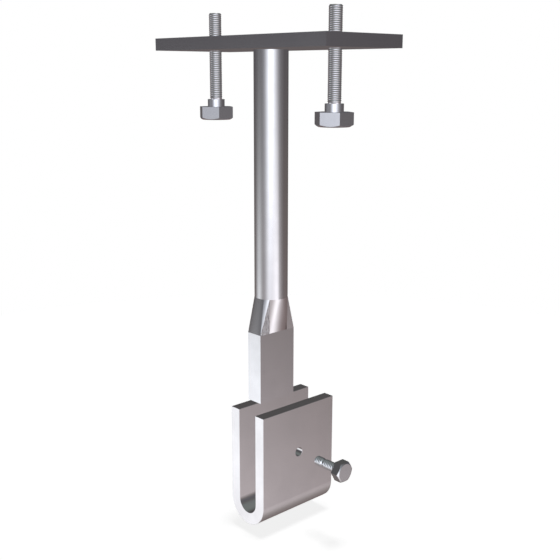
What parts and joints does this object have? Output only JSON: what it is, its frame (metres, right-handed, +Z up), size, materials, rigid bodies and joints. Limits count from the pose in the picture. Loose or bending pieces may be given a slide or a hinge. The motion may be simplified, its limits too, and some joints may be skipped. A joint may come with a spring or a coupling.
{
  "type": "flat bar hanger",
  "caption": "Hanger with a bolted top plate, a drop rod forged to a flat tongue, and a U-bent strap with a clamp screw that holds a flat bar on its edge.",
  "frame": {"origin": "centre of the top plate's upper face, which meets what the hanger is bolted up to", "axes": "+Z up out of the plate's upper face, +X along the plate's long side and towards the clamp screw"},
  "size_m": [0.23, 0.092, 0.4818],
  "materials": {
    "plate_steel": "rolled plate, satin, with faint roll lines along it",
    "rod_steel": "bright drawn bar, satin",
    "strap_steel": "bright flat bar, satin, with a warm tone",
    "bolt_steel": "turned and rolled thread, satin",
    "screw_steel": "turned and rolled thread, bright"
  },
  "bodies": {
    "hanger": {"top_plate": "plate_steel", "drop_rod": "rod_steel", "u_strap": "strap_steel"},
    "bolt_left": {"plate_bolt_left": "bolt_steel"},
    "bolt_right": {"plate_bolt_right": "bolt_steel"},
    "screw": {"clamp_screw": "screw_steel"}
  },
  "joints": [
    {"name": "left_bolt_travel", "type": "slide", "parent": "hanger", "child": "bolt_left", "axis": [0, 0, 1], "range_m": [-0.023, 0.0455]},
    {"name": "right_bolt_travel", "type": "slide", "parent": "hanger", "child": "bolt_right", "axis": [0, 0, 1], "range_m": [-0.023, 0.0455]},
    {"name": "clamp_screw_travel", "type": "slide", "parent": "hanger", "child": "screw", "axis": [-1, 0, 0], "range_m": [0, 0.053]}
  ]
}
